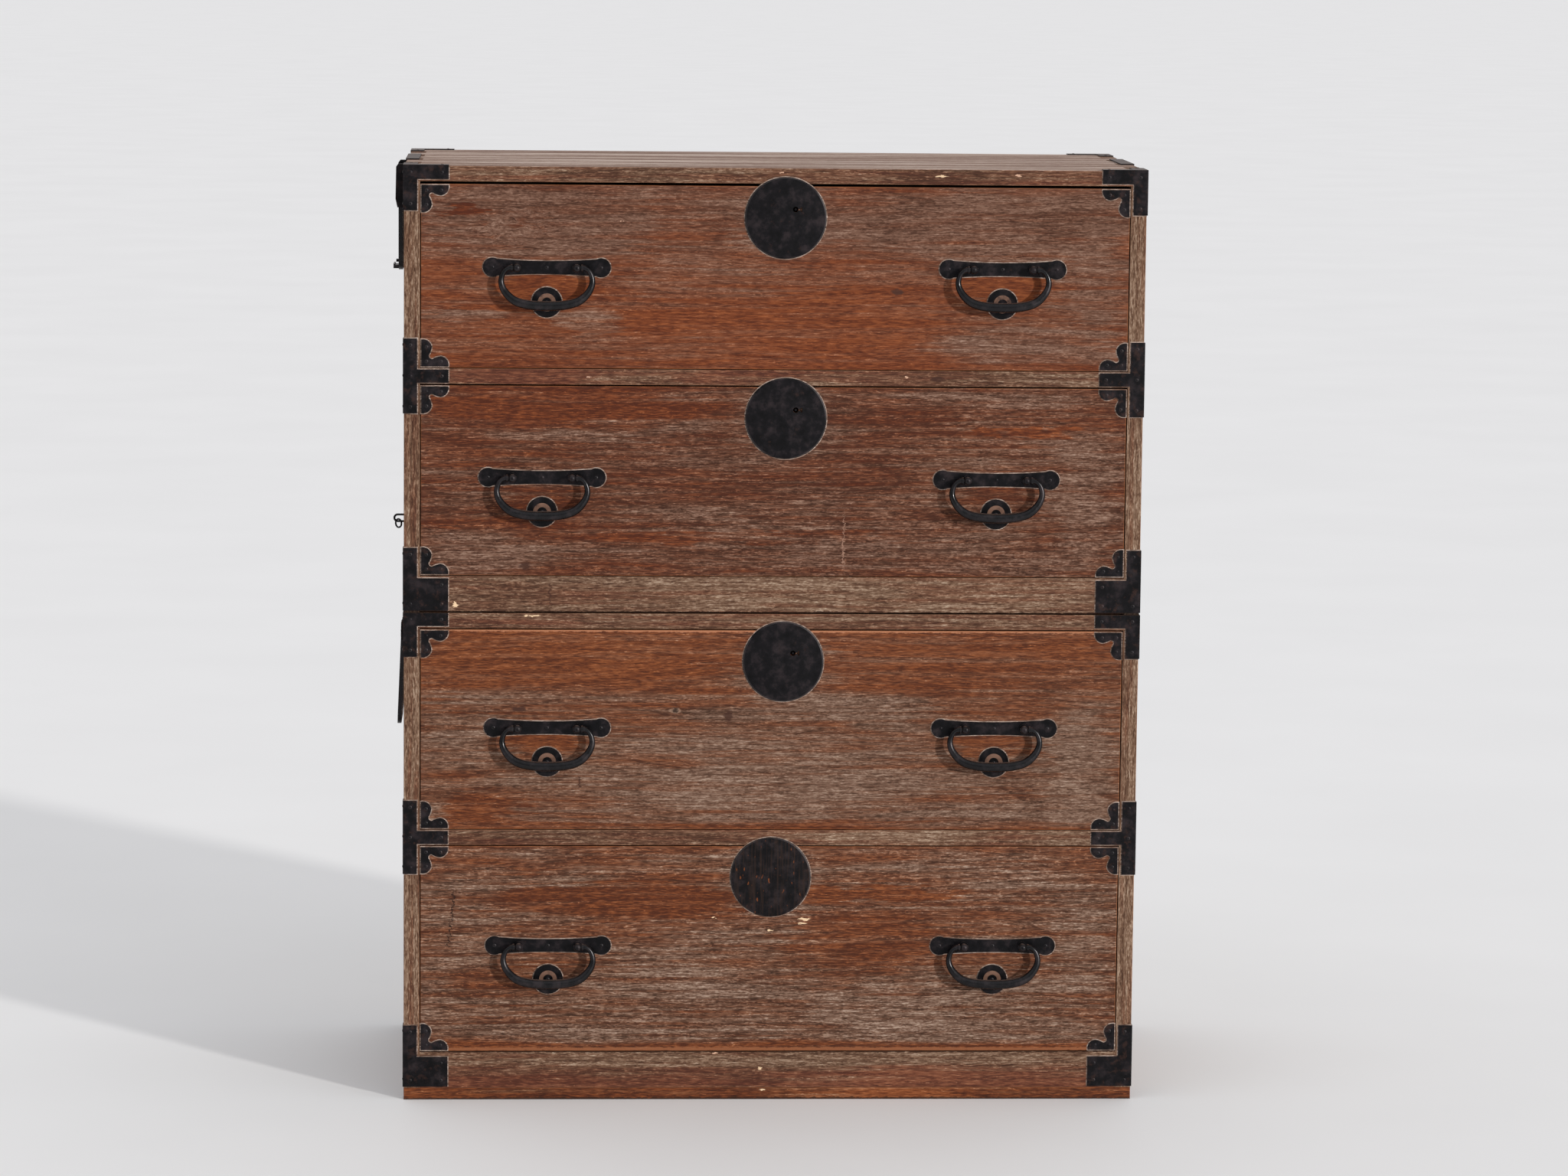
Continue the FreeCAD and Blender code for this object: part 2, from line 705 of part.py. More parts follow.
def pole_loop(size, with_lip):
    """Flat iron loop for the carrying pole, with an eye at the top of each leg."""
    out = size["pivot_out"]
    half = size["bar_thickness"] / 2
    drop = size["drop"]
    depth = out + half + size["lean"] + overrun
    outer_half = pole_half_width + pole_bar_width / 2
    slab = rounded_loop(outer_half, drop, pole_corner_radius, depth)
    slab = slab.cut(rounded_loop(outer_half - pole_bar_width, drop - pole_bar_width,
                                 pole_corner_radius - pole_bar_width / 2, depth))
    steps = [((-out - half, 0),), ((-out - half - size["lean"], -drop),),
             ((-out + half - size["lean"], -drop),), ((-out + half, 0),)]
    profile = outline_face(steps, lambda x, z: vector(x, -outer_half - overrun, z))
    bar = slab.common(profile.extrude(vector(0, 2 * (outer_half + overrun), 0)))
    pieces = [bar]
    bores = []
    for leg in (-pole_half_width, pole_half_width):
        foot = vector(-out, leg - pole_bar_width / 2, 0)
        pieces.append(Part.makeCylinder(size["eye_radius"], pole_bar_width, foot, vector(0, 1, 0)))
        bores.append(Part.makeCylinder(size["pin_radius"] + pole_pin_clearance, pole_bar_width, foot,
                                       vector(0, 1, 0)))
    if with_lip:
        y = (-pole_lip_width / 2, pole_lip_width / 2)
        face_x = -out - half
        pieces.append(block((face_x - pole_lip_reach, -out), y, (-drop, -drop + pole_lip_thickness)))
        pieces.append(block((face_x - pole_lip_reach, face_x - pole_lip_reach + pole_lip_thickness / 2), y,
                            (-drop, -drop + pole_lip_height)))
        pieces.append(Part.makeCylinder(pole_peg_radius, pole_peg_reach + half,
                                        vector(-out, 0, -drop + pole_peg_rise), vector(-1, 0, 0)))
    return joined(pieces).cut(bores)


def pole_set(name, size, levels, flange):
    """Write a case's two brackets and two loops."""
    pivot = levels["top"] - size["pivot_drop"]
    top = {"plate": size["pivot_drop"] if flange else size["ear_rise"] + pole_plate_margin, "flange": flange}
    brackets = [moved(shape, -outer, 0, pivot) for shape in pole_brackets(size, top)]
    loop = moved(pole_loop(size, flange), -outer, 0, pivot)
    export(name + "_pole_brackets", brackets + [mirrored(shape, 1, 0) for shape in brackets])
    export(name + "_left_pole_handle", [loop])
    export(name + "_right_pole_handle", [mirrored(loop, 1, 0)])


# Staple and ring on the left side

def side_staple():
    """Wire staple with two prongs, one over the other, and a round end."""
    bend = staple_height / 2
    end = -outer - staple_reach + bend + staple_wire_radius
    y = front + staple_back
    middle = upper["base"] + staple_rise
    low = vector(-outer, y, middle - bend)
    low_end = vector(end, y, middle - bend)
    high = vector(-outer, y, middle + bend)
    high_end = vector(end, y, middle + bend)
    path = Part.Wire([Part.makeLine(low, low_end),
                      Part.Arc(low_end, vector(end - bend, y, middle), high_end).toShape(),
                      Part.makeLine(high_end, high)])
    section = Part.Wire(Part.makeCircle(staple_wire_radius, low, vector(-1, 0, 0)))
    return path.makePipeShell([section], True, True)


def side_ring():
    """Small ring that hangs from the staple's lower prong, turned askew."""
    drop = ring_radius - ring_wire_radius - staple_wire_radius - ring_play
    middle = upper["base"] + staple_rise - staple_height / 2 - drop
    centre = vector(-outer - ring_out, front + staple_back, middle)
    return Part.makeTorus(ring_radius, ring_wire_radius, centre, vector(1, 1, 0))


build_case("lower", lower, front + rail_thickness, lower["base"], (3,))
build_case("upper", upper, front + rail_thickness, upper["base"] + case_seam, (1, 2))
export("plinth", plinth())
export("lower_case_irons", case_irons(lower, False, strike_iron(3)))
export("upper_case_irons", case_irons(upper, True, strike_iron(1)))
pole_set("lower", lower_pole, lower, False)
pole_set("upper", upper_pole, upper, True)
export("side_staple", [side_staple()])
export("side_ring", [side_ring()])

mounts = handle_mounts()
handle = bail()
for number in drawer_floors:
    name = "drawer_" + str(number)
    low = drawer_floors[number]
    high = low + drawer_openings[number] - drawer_top_gaps[number]
    export(name + "_front", [drawer_front(number, low, high)])
    export(name + "_box", drawer_box(low, high))
    export(name + "_bottom", [drawer_bottom(low)])
    export(name + "_corner_irons", corner_irons(low, high))
    fittings = []
    for side, (x, z) in zip(("left", "right"), handle_places(number)):
        fittings += [moved(shape, x, front, z) for shape in mounts]
        export(name + "_" + side + "_bail", [moved(handle, x, front, z)])
    export(name + "_handle_mounts", fittings)
    x, z = lock_place(number)
    plate = lock_plate(x, z)
    if number in locked_drawers:
        key = (x + key_side, z + key_rise)
        export(name + "_lock", [plate.cut(key_cut(*key)), lock_case(x, high, key)])
        export(name + "_lock_bolt", [lock_bolt(x, high)])
    else:
        export(name + "_lock", [plate])
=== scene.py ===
# %% [markdown]
# # Isho clothing chest: from bare boards to an old chest
# The real chest is two wooden cases, one standing on the other, with two drawers in each. Its boards are
# stained red-brown and rubbed pale by a century of hands, and blackened iron holds its corners. The boards,
# irons and handles come in at their real size, in metres, with the fronts facing -Y and the floor at z = 0.
# What is left for this file is how they look: the grain and wear of the wood, the skin of the iron, the bare
# rims round the irons, the light and the camera.

import math

import bmesh
import bpy
from mathutils import Matrix, Vector


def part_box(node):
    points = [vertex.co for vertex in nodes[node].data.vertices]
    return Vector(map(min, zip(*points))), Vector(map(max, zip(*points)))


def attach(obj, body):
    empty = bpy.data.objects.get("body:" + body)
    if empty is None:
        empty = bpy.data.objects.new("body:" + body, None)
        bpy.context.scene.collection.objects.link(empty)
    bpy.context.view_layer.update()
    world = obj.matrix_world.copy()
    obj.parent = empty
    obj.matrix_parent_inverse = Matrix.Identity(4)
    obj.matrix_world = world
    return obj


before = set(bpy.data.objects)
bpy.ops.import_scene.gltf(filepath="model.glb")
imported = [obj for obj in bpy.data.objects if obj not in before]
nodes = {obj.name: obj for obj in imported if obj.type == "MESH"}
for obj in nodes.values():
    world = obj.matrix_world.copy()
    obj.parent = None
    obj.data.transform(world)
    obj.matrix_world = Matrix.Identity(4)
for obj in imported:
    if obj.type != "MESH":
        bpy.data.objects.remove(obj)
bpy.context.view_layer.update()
mm = 0.001


def add_object(name, data):
    """New object in the scene."""
    made = bpy.data.objects.new(name, data)
    bpy.context.scene.collection.objects.link(made)
    return made


# %% [markdown]
# ## The camera first
# The photograph was taken from about six and a half metres with a long lens, a little above the top of the
# chest and a little left of its middle. A long lens keeps the upright edges nearly parallel. The camera is
# turned by three angles: left or right, down, and a small roll. Multiplying the rotations in that order
# keeps each angle readable by itself.

# %% Place the camera
camera_place = Vector((-0.2946, -6.4712, 1.4587))
camera_lens = 117.42
camera_turn = math.radians(2.823)
camera_tilt = math.radians(7.412)
camera_roll = math.radians(0.576)

camera = add_object("camera", bpy.data.cameras.new("camera"))
camera.data.lens = camera_lens
camera.matrix_world = (Matrix.Translation(camera_place) @ Matrix.Rotation(-camera_turn, 4, "Z")
                       @ Matrix.Rotation(math.pi / 2 - camera_tilt, 4, "X")
                       @ Matrix.Rotation(camera_roll, 4, "Z"))
bpy.context.scene.camera = camera
bpy.context.scene.view_settings.view_transform = "Standard"
print("camera at", [round(value, 3) for value in camera.matrix_world.translation])

# %% [markdown]
# ## Soft light from the right
# The handles throw their shadows to the left and only a little down, so the main light stands far to the
# right and barely higher than the chest. A sun lamp with a wide angle gives the same soft-edged shadow at
# every handle. The rest of the light comes from the room and is added further down.

# %% Hang the main light
key_direction = Vector((0.92, -1.0, 0.30))
key_strength = 2.4
key_softness = math.radians(3.5)
key_colour = (1.0, 0.985, 0.96)

sun = bpy.data.lights.new("key_light", "SUN")
sun.energy = key_strength
sun.angle = key_softness
sun.color = key_colour
add_object("key_light", sun).rotation_euler = key_direction.to_track_quat("Z", "Y").to_euler()
key_height = math.degrees(math.atan2(key_direction.z, key_direction.xy.length))
print("key light", round(key_height, 1), "degrees high")

# %% [markdown]
# ## A short way to write shader nodes
# A finish here is a chain of twenty nodes or more, and each takes several lines to create, set and link by
# hand. This small class adds one node a line and hands back its output, so that a chain reads like a sum.
# A noise is given by its size in metres, its detail and its roughness. Dividing the place by the size makes
# a pattern that repeats about once in that length, and a different length along each axis draws it out
# into grain. A step rises from its first number to its second, so a pair with the larger number first falls.

# %% The node helper
class Recipe:
    """Adds nodes to a tree. Each method returns the socket that holds its result."""

    def __init__(self, tree):
        self.tree = tree

    def plug(self, socket, value):
        if isinstance(value, bpy.types.NodeSocket):
            self.tree.links.new(value, socket)
        else:
            socket.default_value = value

    def node(self, kind, inputs, output=0, **settings):
        made = self.tree.nodes.new(kind)
        for name, value in settings.items():
            setattr(made, name, value)
        for name, value in inputs.items():
            self.plug(made.inputs[name], value)
        return made.outputs[output]

    def sum(self, operation, a, b=0.0, c=0.0):
        return self.node("ShaderNodeMath", {0: a, 1: b, 2: c}, operation=operation)

    def vector_sum(self, operation, a, b):
        return self.node("ShaderNodeVectorMath", {0: a, 1: b}, operation=operation)

    def centred(self, value):
        """A value that lies round a half, moved to lie round zero."""
        return self.sum("SUBTRACT", value, 0.5)

    def noise(self, place, size, detail, roughness, output=0):
        scaled = self.vector_sum("DIVIDE", place, size)
        return self.node("ShaderNodeTexNoise", {"Vector": scaled, "Scale": 1.0, "Detail": detail,
                                                "Roughness": roughness}, output)

    def swing(self, place, noise, reach):
        """A way to move the place by chance, up to half the reach either way."""
        centred = self.vector_sum("SUBTRACT", self.noise(place, *noise, "Color"), (0.5, 0.5, 0.5))
        return self.vector_sum("MULTIPLY", centred, reach)

    def distance(self, place, centre):
        return self.length(self.vector_sum("SUBTRACT", place, centre))

    def length(self, vector):
        return self.node("ShaderNodeVectorMath", {0: vector}, "Value", operation="LENGTH")

    def step(self, value, low, high, start=0.0, end=1.0):
        """Smooth step of value from low to high, as a number from start to end."""
        return self.node("ShaderNodeMapRange", {"Value": value, "From Min": low, "From Max": high,
                                                "To Min": start, "To Max": end},
                         interpolation_type="SMOOTHSTEP")

    def mix(self, share, a, b):
        return self.node("ShaderNodeMix", {0: share, 6: a, 7: b}, 2, data_type="RGBA")

    def part(self, vector, axis="Z"):
        return self.node("ShaderNodeSeparateXYZ", {0: vector}, axis)

    def normal(self, kind="Normal"):
        return self.node("ShaderNodeNewGeometry", {}, kind)

    def ramp(self, value, line):
        """Value along a line of stops, each a place from 0 to 1 and a number or a colour."""
        made = self.tree.nodes.new("ShaderNodeValToRGB")
        self.plug(made.inputs[0], value)
        elements = made.color_ramp.elements
        while len(elements) < len(line):
            elements.new(1.0)
        for element, (place, shade) in zip(elements, line):
            element.position = place
            element.color = shade if isinstance(shade, tuple) else (shade, shade, shade, 1.0)
        return made.outputs[0]

    def group(self, name, **inputs):
        """Place a node group and return its outputs."""
        made = self.tree.nodes.new("ShaderNodeGroup")
        made.node_tree = bpy.data.node_groups[name]
        for label, value in inputs.items():
            self.plug(made.inputs[label], value)
        return made.outputs


socket_kinds = {"vector": "NodeSocketVector", "value": "NodeSocketFloat"}


def new_group(name, inputs, outputs):
    """New shader group. Returns its recipe, its given sockets and the sockets of its results."""
    tree = bpy.data.node_groups.new(name, "ShaderNodeTree")
    for in_out, sockets in (("INPUT", inputs), ("OUTPUT", outputs)):
        for label, kind in sockets.items():
            tree.interface.new_socket(label, in_out=in_out, socket_type=socket_kinds[kind])
    return Recipe(tree), tree.nodes.new("NodeGroupInput").outputs, tree.nodes.new("NodeGroupOutput").inputs


def new_material(name):
    """New material. Returns it, its recipe, its shader and the place of each point."""
    material = bpy.data.materials.new(name)
    material.use_nodes = True
    g = Recipe(material.node_tree)
    place = g.node("ShaderNodeTexCoord", {}, "Object")
    return material, g, material.node_tree.nodes["Principled BSDF"], place


def tone(red, green, blue):
    """Colour from the 0 to 255 numbers of a paint card, made linear for the shader."""
    linear = [((value / 255 + 0.055) / 1.055) ** 2.4 for value in (red, green, blue)]
    return (*linear, 1.0)


def stops(*tones, tint=(0, 0, 0)):
    """Even stops of a ramp through these paint-card colours, each with the tint added."""
    return [(index / (len(tones) - 1), tone(*[number + more for number, more in zip(numbers, tint)]))
            for index, numbers in enumerate(tones)]


# %% [markdown]
# ## Light from the room
# The room is brighter above than at the level of the eye. A world whose strength follows the height of each
# ray gives that without another lamp.

# %% Fill the world with room light
room_level = 0.35
room_above = 0.90
room_rise = (0.0, 0.9)
room_colour = (0.96, 0.97, 1.0, 1.0)

world = bpy.data.worlds.new("room")
world.use_nodes = True
bpy.context.scene.world = world
g = Recipe(world.node_tree)
rise = g.part(g.node("ShaderNodeTexCoord", {}, "Generated"))
background = world.node_tree.nodes["Background"].inputs
background["Color"].default_value = room_colour
g.plug(background["Strength"], g.step(rise, *room_rise, room_level, room_above))
print("room light", room_level, "at eye level and", room_above, "above")

# %% [markdown]
# ## Old wood as a group
# Seen close, these boards are short pale strokes over darker, redder wood. The soft wood between the fibres
# has gone and holds grey dust, and the harder fibres still have their stain. A stroke is about a millimetre
# high and from two millimetres to five centimetres long, so three noises of different length are added, and
# only their crests count as strokes. The more chalk there is, the lower the crests that count. Grain runs
# along X inside the group, and a board that stands upright turns its place before it enters. The place is
# first bent by a slow noise, because no real grain line is straight, and Curl adds the feathered grain near
# a knot.

# %% The numbers of the old wood
bend_noise, bend_reach = ((0.30, 0.09, 0.05), 2.0, 0.5), (0.0, 0.010, 0.010)
curl_noise, curl_reach = ((0.020, 0.02, 0.009), 1.0, 0.5), (0.012, 0.012, 0.012)
fibre_noise, fibre_shift = ((0.0125, 0.0016, 0.0016), 2.0, 0.66), (3.1, 1.7, 2.3)
grain_noises = {
    "area": ((0.16, 0.05, 0.022), 4.0, 0.62),
    "bands": ((0.26, 0.0050, 0.0050), 4.0, 0.66),
    "short": ((0.0042, 0.0016, 0.0016), 1.0, 0.5),
    "middle": ((0.026, 0.0022, 0.0022), 2.0, 0.65),
    "drawn": ((0.11, 0.0034, 0.0034), 2.0, 0.6),
    "rings": ((0.80, 0.06, 0.06), 1.0, 0.4),
    "cracks": ((0.075, 0.0019, 0.0019), 1.0, 0.5),
}
# How much the noises move the chalk and the crests
chalk_shares = {"area": 1.5, "bands": 2.3}
stroke_shares = {"drawn": 0.22, "middle": 0.36, "short": 0.42}
chalk_on_crests = 0.13
crest_edge = (0.60, 0.67)
ring_count = 13.0
ring_start, ring_end = (0.55, 0.97), (1.0, 0.97)
crack_edge = (0.64, 0.72)
# What makes a point lighter or darker
bare_value = 0.26
stroke_gain_bare, stroke_gain_chalky = 0.38, 0.24
fibre_gain = 1.6
band_gain = 0.38
line_loss = 0.14
chalk_gain = 0.12
warm_edge = (1.0, -0.15)
stroke_relief = -0.4
print(len(grain_noises), "noises on the bent place make the grain")


# %% Build the old wood group
def make_old_wood():
    g, given, result = new_group("old wood", {"Place": "vector", "Chalk": "value", "Curl": "value"},
                                 {"Value": "value", "Warm": "value", "Relief": "value"})
    place = given["Place"]
    bent = g.vector_sum("ADD", place, g.swing(place, bend_noise, bend_reach))
    curl = g.node("ShaderNodeVectorMath", {0: g.swing(place, curl_noise, curl_reach),
                                           "Scale": given["Curl"]}, operation="SCALE")
    bent = g.vector_sum("ADD", bent, curl)
    noise = {name: g.noise(bent, *numbers) for name, numbers in grain_noises.items()}
    chalk = given["Chalk"]
    for name, share in chalk_shares.items():
        chalk = g.sum("MULTIPLY_ADD", g.centred(noise[name]), share, chalk)
    covered = g.node("ShaderNodeClamp", {"Value": chalk})
    crest = 0.0
    for name, share in stroke_shares.items():
        crest = g.sum("MULTIPLY_ADD", noise[name], share, crest)
    strokes = g.step(g.sum("MULTIPLY_ADD", covered, chalk_on_crests, crest), *crest_edge)
    fibre = g.noise(g.vector_sum("ADD", bent, fibre_shift), *fibre_noise)
    rings = g.sum("FRACT", g.sum("MULTIPLY", noise["rings"], ring_count))
    lines = g.sum("MULTIPLY", g.step(rings, *ring_start), g.step(rings, *ring_end))
    cracks = g.step(noise["cracks"], *crack_edge)
    stroke_gain = g.step(covered, 0.0, 1.0, stroke_gain_bare, stroke_gain_chalky)
    value = g.sum("MULTIPLY_ADD", strokes, stroke_gain, bare_value)
    value = g.sum("MULTIPLY_ADD", g.centred(fibre), fibre_gain, value)
    value = g.sum("MULTIPLY_ADD", g.centred(noise["bands"]), band_gain, value)
    value = g.sum("MULTIPLY_ADD", g.sum("MAXIMUM", lines, cracks), -line_loss, value)
    g.plug(result["Value"], g.sum("MULTIPLY_ADD", covered, chalk_gain, value))
    g.plug(result["Warm"], g.step(chalk, *warm_edge))
    g.plug(result["Relief"], g.sum("MULTIPLY_ADD", strokes, stroke_relief, fibre))


make_old_wood()
print("group old wood:", len(bpy.data.node_groups["old wood"].nodes), "nodes")

# %% [markdown]
# ## Wear in its place
# Wear isn't even. Hands, sun and damp leave patches, and the same patch is found again on the real chest.
# One small group turns a centre and three radii into a soft patch. Its place is first made ragged along the
# grain, so that no patch has a drawn outline. A second group finds the rubbed arrises: on this chest only
# their rounded faces lie square to no axis. The irons use it too, where it paints nail heads and edges
# lighter, partly as wear and partly as a painted highlight.

# %% Build the wear groups
patch_edge = (1.30, 0.70)
square_edge = (0.99, 0.80)
arris_noise = ((0.03, 0.03, 0.03), 2.0, 0.6)
arris_edge = (0.30, 0.55)


def make_worn_patch():
    g, given, result = new_group("worn patch", {"Place": "vector", "Centre": "vector", "Radii": "vector"},
                                 {"Share": "value"})
    offset = g.vector_sum("SUBTRACT", given["Place"], given["Centre"])
    distance = g.length(g.vector_sum("DIVIDE", offset, given["Radii"]))
    g.plug(result["Share"], g.step(distance, *patch_edge))


def make_arris():
    g, given, result = new_group("rounded arris", {"Place": "vector"}, {"Bare": "value"})
    normal = g.normal("True Normal")
    squared = g.vector_sum("MULTIPLY", normal, normal)
    largest = g.sum("MAXIMUM", g.sum("MAXIMUM", g.part(squared, "X"), g.part(squared, "Y")), g.part(squared))
    broken = g.step(g.noise(given["Place"], *arris_noise), *arris_edge)
    g.plug(result["Bare"], g.sum("MULTIPLY", g.step(largest, *square_edge), broken))


make_worn_patch()
make_arris()
print("groups:", [group.name for group in bpy.data.node_groups])

# %% [markdown]
# ## One recipe for every board
# All the boards are one kind of wood under one stain, so one function makes every wood finish. The group
# says how light each point is, and how warm. Two ramps turn that into colour: a grey-tan one where there is
# chalk and an orange one where the stain still shows. Both grow lighter by about the same amount in red,
# green and blue, as old wood does, so a pale stroke looks dusty and not like fresh wood.

# %% The wood finish
seed_shift = (1.37, 0.71, 0.93)
seed_shift_turned = (1.0, 0.57, 1.13)
sideways_edge = (0.5, 0.7)
ragged_noise, ragged_reach = ((0.06, 0.03, 0.010), 3.0, 0.65), (0.16, 0.0, 0.035)
nick_noise, nick_reach = ((0.006, 0.006, 0.003), 2.0, 0.6), (0.012, 0.0, 0.005)
middle_value = 0.45
mark_cover = 0.85
# The upward face takes a paler colour: its dust, and painted light from above.
upward_streak_noise = ((0.55, 0.024, 0.05), 4.0, 0.62)
upward_dust_and_light_edge = (0.3, 0.8)
dust_and_light_cover = 0.9
grain_in_upward_streaks = 0.25
roughness_chalky, roughness_warm = 0.85, 0.62
wood_specular = 0.16
wood_bump = {"Strength": 0.35, "Distance": 0.5 * mm}


def wood(name, seed, ramps, chalk, light=0.0, upright=False, span=(0.0, 1.0), patches=(), marks=(), curls=(),
         contrast=1.0, worn=0.55, upward_dust_and_light=None, joined=False):
    """Material for a board. chalk is a list of stops over the height span. Each patch is a centre, radii and
    its change of chalk and of light. Each mark is a centre, radii and a colour. contrast is between the
    strokes, worn is the share of bare wood on the arrises, and dust is a ramp for the upward face, paler
    for what has settled on it and for painted light from above. joined says that boards along Y belong to
    it too, so faces that look along X turn their grain."""
    material, g, shader, place = new_material(name)

    def moved_by(shift, turn):
        return g.node("ShaderNodeMapping", {"Vector": place, "Location": [seed * share for share in shift],
                                            "Rotation": turn})

    def patch(where, centre, radii):
        return g.group("worn patch", Place=where, Centre=centre, Radii=radii)["Share"]

    moved = moved_by(seed_shift, (0.0, math.pi / 2 if upright else 0.0, 0.0))
    if joined:
        turned = moved_by(seed_shift_turned, (0.0, 0.0, math.pi / 2))
        sideways = g.step(g.sum("ABSOLUTE", g.part(g.normal("True Normal"), "X")), *sideways_edge)
        moved = g.node("ShaderNodeMix", {0: sideways, 4: moved, 5: turned}, 1, data_type="VECTOR")
    height = g.node("ShaderNodeMapRange", {"Value": g.part(place), "From Min": span[0], "From Max": span[1]})
    cover, lightness, curl = g.ramp(height, chalk), light, 0.0
    if patches or curls:
        ragged = g.vector_sum("ADD", place, g.swing(place, ragged_noise, ragged_reach))
    for centre, radii, more_chalk, more_light in patches:
        share = patch(ragged, centre, radii)
        cover = g.sum("MULTIPLY_ADD", share, more_chalk, cover)
        if more_light:
            lightness = g.sum("MULTIPLY_ADD", share, more_light, lightness)
    for centre, radii in curls:
        curl = g.sum("ADD", patch(ragged, centre, radii), curl)
    grain = g.group("old wood", Place=moved, Chalk=cover, Curl=curl)
    value = g.sum("MULTIPLY_ADD", grain["Value"], contrast, middle_value * (1 - contrast))
    value = g.sum("ADD", value, lightness)
    colour = g.mix(grain["Warm"], g.ramp(value, ramps["chalky"]), g.ramp(value, ramps["warm"]))
    edge = g.group("rounded arris", Place=moved)["Bare"]
    colour = g.mix(g.sum("MULTIPLY", edge, worn), colour, ramps["edge"])
    # Marks are chips, knots and scratches, and on the cases also painted shade in seams and gaps and a
    # painted contact shadow at the floor.
    if marks:
        nicked = g.vector_sum("ADD", place, g.swing(place, nick_noise, nick_reach))
    for centre, radii, paint in marks:
        colour = g.mix(g.sum("MULTIPLY", patch(nicked, centre, radii), mark_cover), colour, paint)
    # Upward faces are painted paler: partly their dust, partly painted light from above.
    if upward_dust_and_light:
        streaks = g.noise(moved, *upward_streak_noise)
        streaks = g.sum("MULTIPLY_ADD", g.centred(grain["Value"]), grain_in_upward_streaks, streaks)
        dust_and_painted_light = g.step(g.part(g.normal()), *upward_dust_and_light_edge, 0.0, dust_and_light_cover)
        colour = g.mix(dust_and_painted_light, colour, g.ramp(streaks, upward_dust_and_light))
    g.plug(shader.inputs["Base Color"], colour)
    g.plug(shader.inputs["Roughness"], g.step(grain["Warm"], 0.0, 1.0, roughness_chalky, roughness_warm))
    shader.inputs["Specular IOR Level"].default_value = wood_specular
    g.plug(shader.inputs["Normal"], g.node("ShaderNodeBump", {**wood_bump, "Height": grain["Relief"]}))
    return material


def even(chalk):
    """The same chalk from the lower to the upper edge."""
    return (0.0, chalk), (1.0, chalk)


def dress(material, *names):
    """Give a finish to the named nodes."""
    for name in names:
        nodes[name].data.materials.clear()
        nodes[name].data.materials.append(material)


# %% [markdown]
# ## The four fronts
# The colours are read off the photograph, from the darkest line to the palest stroke. Then each front
# gets its own patches, in millimetres from the middle of its lower edge: how far right, how far up, half its
# length, half its height, and how much more chalk and light it has. Inside each handle's loop no hand ever
# rubbed, so the wood there is still clean and orange. Round each lock plate it is a little chalkier. A few
# chips, knots and scratches are marks of their own colour.

# %% Choose the colours and the even wear of the fronts
front_tint = {1: (2, -2, -2), 2: (1, -2, -2), 3: (1, 1, 1), 4: (1, 1, 1)}
front_ramps = {number: {
    "chalky": stops((56, 38, 28), (84, 60, 47), (111, 84, 69), (137, 112, 96), (165, 143, 127), tint=tint),
    "warm": stops((70, 32, 15), (100, 51, 25), (130, 73, 39), (153, 98, 63), (174, 131, 102), tint=tint),
    "edge": tone(158, 98, 60),
} for number, tint in front_tint.items()}
front_contrast = {1: 0.76, 2: 1.0, 3: 0.92, 4: 1.12}
front_light = {1: -0.01, 2: -0.11, 3: -0.02, 4: -0.01}
front_chalk = {
    1: ((0.0, 0.05), (0.03, 0.10), (0.06, 0.32), (0.45, 0.30), (0.62, 0.50), (1.0, 0.55)),
    2: ((0.0, 0.58), (0.3, 0.54), (0.7, 0.50), (1.0, 0.45)),
    3: ((0.0, 0.10), (0.02, 0.15), (0.05, 0.65), (0.45, 0.60), (0.68, 0.45), (0.78, 0.12), (0.97, 0.15),
        (1.0, 0.0)),
    4: ((0.0, -0.2), (0.03, -0.1), (0.06, 0.72), (0.25, 0.66), (0.5, 0.50), (0.8, 0.50), (1.0, 0.30)),
}
loop_change = {1: (-0.75, 0.02), 2: (-0.30, -0.02), 3: (-0.60, 0.03), 4: (-0.10, 0.03)}
halo_change = (0.25, 0.03)
print("ramps for", len(front_ramps), "fronts")

